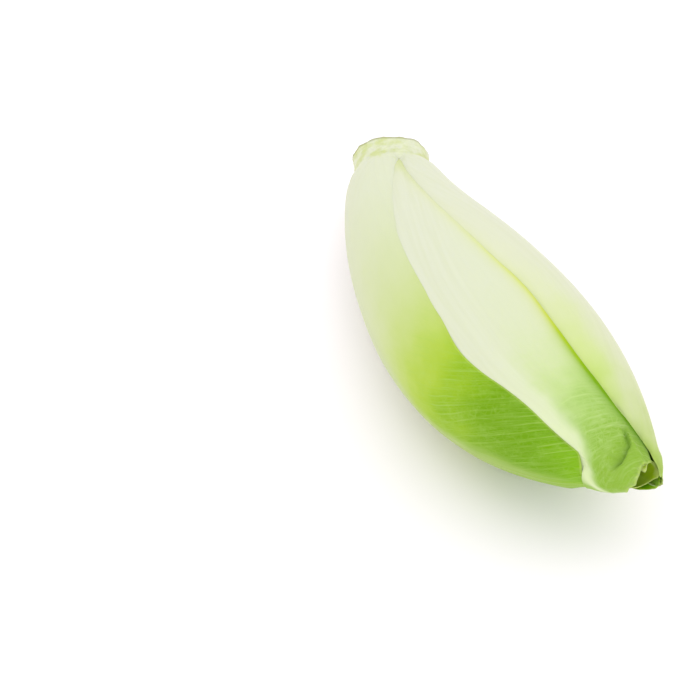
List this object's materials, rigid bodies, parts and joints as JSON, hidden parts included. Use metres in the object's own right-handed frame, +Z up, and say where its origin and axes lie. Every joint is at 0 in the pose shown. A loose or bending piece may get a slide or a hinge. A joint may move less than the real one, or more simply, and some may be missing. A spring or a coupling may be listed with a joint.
{
  "type": "belgian endive",
  "caption": "Whole head of Belgian endive lying on its side: tightly nested cream and yellow-green leaves on a trimmed core.",
  "frame": {"origin": "middle of the head's footprint on the surface it lies on", "axes": "+X from the cut stem towards the leaf tips, +Z up; the parted outer leaves show the second layer on top, a little towards -Y"},
  "size_m": [0.1548, 0.052, 0.049],
  "materials": {
    "pale_leaf": "satin, moist, creamy white leaf tissue turning yellow-green at the edge",
    "green_leaf": "satin, thin yellow-green leaf blade with fine pale veins and a white rib",
    "green_tipped_leaf": "satin, white rib, green veined blade towards the tip",
    "inner_leaf": "satin, pale yellow-white young leaf",
    "core": "matt, dry tan cut stem with leaf scars"
  },
  "bodies": {
    "root": {"core": "core", "outer_leaf_left": "green_leaf", "outer_leaf_right": "pale_leaf", "second_leaf_top": "green_tipped_leaf", "second_leaf_under": "green_leaf", "leaf_3a": "inner_leaf", "leaf_3b": "inner_leaf", "leaf_4a": "inner_leaf", "leaf_4b": "inner_leaf", "leaf_5a": "inner_leaf", "leaf_5b": "inner_leaf", "leaf_6a": "inner_leaf", "leaf_6b": "inner_leaf", "leaf_7a": "inner_leaf", "leaf_7b": "inner_leaf", "leaf_8a": "inner_leaf", "leaf_8b": "inner_leaf"}
  },
  "joints": []
}
